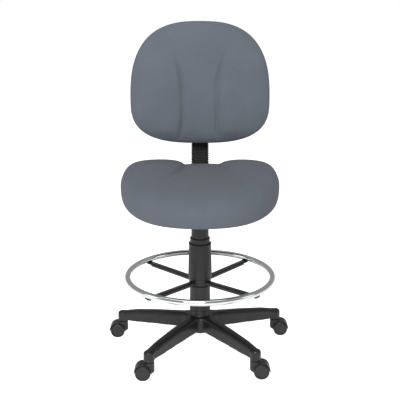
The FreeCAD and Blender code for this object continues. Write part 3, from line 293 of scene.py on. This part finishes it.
backPad = {
    "halfWidth": 0.2425, "foot": 0.1505, "top": 0.2675, "footPower": 2.85, "topPower": 2.65,
    "rimDepth": 0.020, "depth": 0.057, "tuck": 0.010,
    "lobe": 0.0125, "lobeSoftness": 0.017, "channelHalf": 0.059, "channelShift": -0.002,
    "creaseLeft": 0.0040, "creaseRight": 0.0044, "creaseWidth": 0.0065, "fadeLow": 0.085, "fadeHigh": 0.185,
    # the channel's opening towards the shoulders and, less, towards the foot
    "flareFrom": 0.03, "flareSpan": 0.13, "flareWidth": 0.030, "flarePower": 1.8,
    "footFrom": -0.055, "footSpan": 0.08, "footWidth": 0.009, "footFlarePower": 1.5,
    "riseFrom": -0.152, "riseTo": -0.105,
    "boardThickness": 0.011, "boardGap": 0.0004, "rimSteps": 8, "reliefEdge": 6,
    "faceBunching": 0.62, "crownPower": 4.6, "lobeSunk": 0.72,
    "around": 288, "rings": 120, "fill": 0.75,
}
backOrigin = (boardLow + boardHigh) / 2 - upBack * ((backPad["top"] - backPad["foot"]) / 2)
backOrigin += outBack * backPad["boardThickness"] / 2


def onBack(x, up, out):
    return backOrigin + Vector((x, 0, 0)) + upBack * up + outBack * out


def channelHalf(up):
    # the channel is narrowest low on the back and opens out like a vase towards the shoulders
    shape = backPad
    flare = max(0, up - shape["flareFrom"]) / shape["flareSpan"]
    foot = max(0, shape["footFrom"] - up) / shape["footSpan"]
    opening = shape["flareWidth"] * flare ** shape["flarePower"]
    return shape["channelHalf"] + opening + shape["footWidth"] * foot ** shape["footFlarePower"]


def backRelief(x, up):
    x -= backPad["channelShift"]
    beyond = abs(x) - channelHalf(up)
    shown = 1 - smoothStep(backPad["fadeLow"], backPad["fadeHigh"], up)
    shown *= smoothStep(backPad["riseFrom"], backPad["riseTo"], up)
    rise = 1 - math.exp(-max(0, beyond) / backPad["lobeSoftness"])
    crease = backPad["creaseLeft"] if x < 0 else backPad["creaseRight"]
    return shown * (backPad["lobe"] * rise - crease * math.exp(-(beyond / backPad["creaseWidth"]) ** 2))


def backCushionRings():
    shape = backPad
    rings = []

    def ring(share, out, inset=0.0, relief=False):
        points = []
        for i in range(shape["around"]):
            angle = 2 * math.pi * i / shape["around"]
            x, up = superEllipse(angle, shape["halfWidth"] - inset, shape["foot"] - inset, shape["top"] - inset,
                                 shape["footPower"], shape["topPower"])
            x, up = x * share, up * share
            edge = 1 - share ** shape["reliefEdge"]
            points.append(onBack(x, up, out + (backRelief(x, up) * edge if relief else 0)))
        return points

    for share in (0.3, 0.8, 0.97, 1.0):  # flat rear face, against the board
        rings.append(ring(share, shape["boardGap"], shape["tuck"]))
    for step in range(1, shape["rimSteps"] + 1):  # rear edge rolls out to the rim
        turn = math.pi / 2 * step / shape["rimSteps"]
        rings.append(ring(1, shape["rimDepth"] * (1 - math.cos(turn)), shape["tuck"] * (1 - math.sin(turn))))
    low, high = shape["rimDepth"], shape["depth"] - shape["lobe"] * shape["lobeSunk"]
    for step in range(1, shape["rings"]):  # front face
        angle = math.pi / 2 * step / shape["rings"]
        share = math.cos(angle) ** shape["faceBunching"]
        crown = (1 - share ** shape["crownPower"]) ** 0.5
        rings.append(ring(share, low + (high - low) * crown, 0.0, True))
    return rings


def buildBackCushion():
    points, faces = skin(backCushionRings())
    piece = makePiece("backCushionFabric", points, faces, "upholstery", "backrest", "back_cushion")
    return piece


buildBackCushion()
print("back cushion built")


seatLow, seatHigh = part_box("seat_cushion")
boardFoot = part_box("seat_board")[0].z
seatPad = {
    "halfWidth": (seatHigh.x - seatLow.x) / 2, "frontPower": 2.12, "rearPower": 4.5, "frontShare": 0.633,
    "topZ": 0.602, "rimZ": 0.553, "lipZ": seatLow.z - 0.004, "sideFootZ": 0.5036,
    "frontDrop": 0.020, "rearLift": 0.014, "rearLiftFrom": -0.08, "rearLiftTo": 0.1,
    "lobe": 0.0185, "lobeSoftness": 0.030, "channelHalf": 0.060, "channelShift": 0.008,
    "creaseLeft": 0.0048, "creaseRight": 0.0020, "creaseWidth": 0.010,
    # the channel widens forward from a line this far ahead of the rear edge, and the lobes fade in along y
    "channelOpen": 0.060, "channelFrom": 0.03, "channelSpan": 0.25, "lobesFrom": -0.09, "lobesTo": 0.12,
    # how far ahead of the middle the cushion starts and stops turning into its front roll
    "frontFrom": 0.02, "frontTo": 0.27, "footBend": 1.25,
    # rings under the board, as inset and height above its foot
    "under": ((0.042, 0.004), (0.040, -0.0004), (0.036, -0.0005)),
    "rollSteps": 12, "rollInset": 0.020, "rollTuck": 1.1, "rollBend": 1.15,
    # the side's squareness at the rear and how much of it the front roll loses
    "faceBunching": 0.6, "sidePower": 10.5, "frontPowerLoss": 7.1, "crownRoot": 2.5, "frontRootLoss": 0.4,
    "reliefEdge": 16, "around": 320, "rings": 110, "fill": 0.8,
}
seatPad["front"] = (seatHigh.y - seatLow.y) * seatPad["frontShare"]
seatPad["rear"] = (seatHigh.y - seatLow.y) - seatPad["front"]
seatPad["middleY"] = seatHigh.y - seatPad["rear"]


def seatRelief(x, y):
    x -= seatPad["channelShift"]
    ahead = max(0, seatHigh.y - seatPad["channelFrom"] - y) / seatPad["channelSpan"]
    half = seatPad["channelHalf"] + seatPad["channelOpen"] * ahead ** 2
    shown = smoothStep(seatPad["lobesFrom"], seatPad["lobesTo"], y)
    rise = 1 - math.exp(-max(0, abs(x) - half) / seatPad["lobeSoftness"])
    crease = seatPad["creaseLeft"] if x < 0 else seatPad["creaseRight"]
    return shown * (seatPad["lobe"] * rise - crease * math.exp(-((abs(x) - half) / seatPad["creaseWidth"]) ** 2))


def seatCushionRings():
    shape = seatPad
    rings = []

    def ring(make):
        return [make(2 * math.pi * i / shape["around"]) for i in range(shape["around"])]

    def outline(angle, inset, share=1.0):
        x, y = superEllipse(angle, shape["halfWidth"] - inset, shape["front"] - inset, shape["rear"] - inset,
                            shape["frontPower"], shape["rearPower"])
        return x * share, y * share + shape["middleY"]

    def frontness(y):
        return smoothStep(shape["frontFrom"], shape["frontTo"], shape["middleY"] - y)

    def footZ(y):
        return shape["sideFootZ"] + (shape["lipZ"] - shape["sideFootZ"]) * frontness(y) ** shape["footBend"]

    def rimZ(y):
        lift = shape["rearLift"] * smoothStep(shape["rearLiftFrom"], shape["rearLiftTo"], y)
        return shape["rimZ"] - shape["frontDrop"] * frontness(y) + lift

    for inset, lift in shape["under"]:  # turned under the board
        def under(angle, inset=inset, lift=lift):
            x, y = outline(angle, inset)
            return Vector((x, y, boardFoot + lift))
        rings.append(ring(under))
    for step in range(shape["rollSteps"] + 1):  # lower edge rolls out to the widest line
        turn = math.pi / 2 * step / shape["rollSteps"]

        def roll(angle, turn=turn):
            x, y = outline(angle, shape["rollInset"] * (1 - math.sin(turn)) ** shape["rollTuck"])
            low, high = footZ(y), rimZ(y)
            return Vector((x, y, low + (high - low) * (1 - math.cos(turn)) ** shape["rollBend"]))
        rings.append(ring(roll))
    for step in range(1, shape["rings"]):  # side rolls over into the top
        share = math.cos(math.pi / 2 * step / shape["rings"]) ** shape["faceBunching"]

        def over(angle, share=share):
            x, y = outline(angle, 0.0, share)
            edgeY = outline(angle, 0.0)[1]
            ahead = frontness(edgeY)
            power = shape["sidePower"] - shape["frontPowerLoss"] * ahead
            crown = (1 - share ** power) ** (1 / (shape["crownRoot"] - shape["frontRootLoss"] * ahead))
            low = rimZ(edgeY)
            z = low + (shape["topZ"] - low) * crown
            return Vector((x, y, z + seatRelief(x, y) * (1 - share ** shape["reliefEdge"])))
        rings.append(ring(over))
    return rings


def buildSeatCushion():
    points, faces = skin(seatCushionRings())
    piece = makePiece("seatCushionFabric", points, faces, "upholstery", "seat", "seat_cushion")
    return piece


buildSeatCushion()
print("seat cushion built")


bodyOf = {node: body for body, nodes in frame["record"]["behaviour"]["bodies"].items() for node in nodes}
softened = {  # voxel in metres and smoothing passes for each kind of moulding
    "base": (0.0017, 14), "hood": (0.0010, 5), "grip": (0.0008, 5),
}
mouldings = [("base_star", "base")] + [(name, "hood") for name in sorted(frame["nodes"]) if "caster_hood" in name]
mouldings += [(name, "grip") for name in ("footring_knob", "back_depth_knob", "back_height_knob", "footring_hub",
                                         "height_lever_paddle", "back_angle_paddle", "back_height_slider")]


def camelName(name):
    first, *others = name.split("_")
    return first + "".join(word.capitalize() for word in others)


def bakedMesh(piece):
    # the mesh as its modifiers leave it
    graph = bpy.context.evaluated_depsgraph_get()
    graph.update()
    return bpy.data.meshes.new_from_object(piece.evaluated_get(graph))


star = {
    "arms": 5, "armHalf": 0.022, "armsApart": 72, "firstCrotch": 90 + 1.8 + 36, "filletRadius": 0.018,
    "crown": 0.119, "steps": 12,
    # how far the shoulder has drawn in at each depth below the crown
    "shoulder": ((0.045, 0.0), (0.0092, 0.0009), (0.0033, 0.0044), (0.0010, 0.0085), (0.0, 0.0128)),
}


def crotchFillet(angle):
    # fills the corner between two arms with a curve tangent to both, its shoulder in step with theirs;
    # the solid starts at the hub's axis, so it also crosses the hub's bore
    half = math.radians(star["armsApart"] / 2)
    centre = (star["armHalf"] + star["filletRadius"]) / math.sin(half)
    sweep = math.pi / 2 - half
    rings = []
    for below, inset in star["shoulder"]:
        radius = star["filletRadius"] + inset
        ring = [(0.0, 0.0)]
        for i in range(star["steps"] + 1):
            turn = math.pi - sweep + 2 * sweep * i / star["steps"]
            ring.append((centre + radius * math.cos(turn), radius * math.sin(turn)))
        turned = Matrix.Rotation(angle, 3, "Z")
        rings.append([turned @ Vector((x, y, star["crown"] - below)) for x, y in ring])
    return skin(rings)


def joined(mesh, solids):
    # adds closed solids to a mesh as further shells, for the remesh to merge
    built = bmesh.new()
    built.from_mesh(mesh)
    for points, faces in solids:
        corners = [built.verts.new(p) for p in points]
        added = [built.faces.new([corners[i] for i in face]) for face in faces]
        bmesh.ops.recalc_face_normals(built, faces=added)
    built.to_mesh(mesh)
    built.free()
    return mesh


def softenedMoulding(node, kind):
    # a moulding keeps its CAD form and takes the rounded edges that a mould leaves
    voxel, passes = softened[kind]
    mesh = frame["nodes"][node].data.copy()
    if kind == "base":
        turns = [math.radians(star["firstCrotch"] + star["armsApart"] * i) for i in range(star["arms"])]
        joined(mesh, [crotchFillet(turn) for turn in turns])
    piece = bpy.data.objects.new(camelName(node) + "Moulding", mesh)
    bpy.context.scene.collection.objects.link(piece)
    remesh = piece.modifiers.new("remesh", "REMESH")
    remesh.mode = "VOXEL"
    remesh.voxel_size = voxel
    smooth = piece.modifiers.new("smooth", "SMOOTH")
    smooth.iterations = passes
    smooth.factor = 0.5
    piece.data = bakedMesh(piece)
    piece.modifiers.clear()
    piece.data.polygons.foreach_set("use_smooth", [True] * len(piece.data.polygons))
    piece.data.materials.clear()
    piece.data.materials.append(finishes[slotOf[node]])
    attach(piece, bodyOf[node])
    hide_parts(node)


for node, kind in mouldings:
    softenedMoulding(node, kind)
print("mouldings softened:", len(mouldings))

gaiter = {"halfWidth": 0.032, "halfDepth": 0.0135, "fold": 0.0036, "folds": 26, "foot": -0.3025, "top": -0.1205,
          "behind": -0.040, "around": 64, "perFold": 6, "corner": 5.0, "pinch": 1.6}


def buildBellows():
    # folds round over outside and pinch inside, on a fixed sleeve set between the bar and the slider
    shape = gaiter
    count = shape["folds"] * shape["perFold"]
    rings = []
    for level in range(count + 1):
        up = shape["foot"] + (shape["top"] - shape["foot"]) * level / count
        inset = shape["fold"] * (0.5 + 0.5 * math.cos(2 * math.pi * level / shape["perFold"])) ** shape["pinch"]
        depth = shape["halfDepth"] - inset
        ring = []
        for i in range(shape["around"]):
            x, out = superEllipse(2 * math.pi * i / shape["around"], shape["halfWidth"] - inset, depth, depth,
                                  shape["corner"], shape["corner"])
            ring.append(onBack(x, up, shape["behind"] + out))
        rings.append(ring)
    points, faces = skin(rings)
    piece = makePiece("bellowsSleeve", points, faces, "bellows_rubber", None, "back_bellows")
    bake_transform(piece)


buildBellows()
print("bellows built")


def areaLight(name, place, target, size, power):
    light = bpy.data.lights.new(name, "AREA")
    light.shape = "RECTANGLE"
    light.size, light.size_y = size
    light.energy = power
    lamp = bpy.data.objects.new(name, light)
    bpy.context.scene.collection.objects.link(lamp)
    lamp.location = place
    lamp.rotation_euler = (Vector(target) - Vector(place)).to_track_quat("-Z", "Y").to_euler()


def shownOrLighting(tree, lighting, shown):
    # the strength that the stage shows as backdrop, and the lower one with which it lights the chair
    seen = addNode(tree, "ShaderNodeLightPath").outputs["Is Camera Ray"]
    power = addNode(tree, "ShaderNodeMapRange", [("Value", seen)])
    power.inputs["To Min"].default_value = lighting
    power.inputs["To Max"].default_value = shown
    return power.outputs[0]


def buildStudio():
    studio = {
        "floorHalf": 30.0, "floor": "#f4f4f4", "lightingFloor": 0.40, "shownFloor": 1.0,
        "sky": "#ffffff", "lightingSky": 0.34, "shownSky": 1.0,
    }
    half = studio["floorHalf"]
    mesh = bpy.data.meshes.new("floor")
    mesh.from_pydata([(-half, -half, 0), (half, -half, 0), (half, half, 0), (-half, half, 0)], [], [(0, 1, 2, 3)])
    floor = bpy.data.objects.new("floor", mesh)
    bpy.context.scene.collection.objects.link(floor)
    material, tree, surface, _ = newMaterial("paintedFloor", in_Roughness=0.8, in_Specular_IOR_Level=0.1)
    surface.inputs["Base Color"].default_value = srgb(studio["floor"])
    surface.inputs["Emission Color"].default_value = srgb(studio["floor"])
    tree.links.new(shownOrLighting(tree, studio["lightingFloor"], studio["shownFloor"]),
                   surface.inputs["Emission Strength"])
    mesh.materials.append(material)
    world = bpy.data.worlds.new("studio")
    world.use_nodes = True
    background = world.node_tree.nodes["Background"]
    background.inputs["Color"].default_value = srgb(studio["sky"])
    tree = world.node_tree
    tree.links.new(shownOrLighting(tree, studio["lightingSky"], studio["shownSky"]), background.inputs["Strength"])
    bpy.context.scene.world = world
    bpy.context.scene.view_settings.view_transform = "Standard"
    areaLight("frontKey", (-0.5, -3.2, 2.7), (0, 0, 0.6), (1.8, 1.4), 116)
    areaLight("overhead", (-0.3, -0.2, 3.4), (0, 0, 0.4), (2.6, 2.6), 24)
    areaLight("leftFill", (-2.8, -0.8, 1.4), (0, 0, 0.5), (1.2, 1.8), 8)
    areaLight("rightFill", (2.8, -0.8, 1.4), (0, 0, 0.5), (1.0, 1.6), 5)


def buildCamera():
    view = {"place": (0.0, -2.284, 1.110), "pitchDown": 14.5, "lens": 64.4, "sensor": 36.0}
    camera = bpy.data.cameras.new("camera")
    camera.lens = view["lens"]
    camera.sensor_width = view["sensor"]
    eye = bpy.data.objects.new("camera", camera)
    bpy.context.scene.collection.objects.link(eye)
    eye.location = view["place"]
    eye.rotation_euler = (math.radians(90 - view["pitchDown"]), 0, 0)
    bpy.context.scene.camera = eye


buildStudio()
buildCamera()
bpy.context.view_layer.update()
print("scene ready")
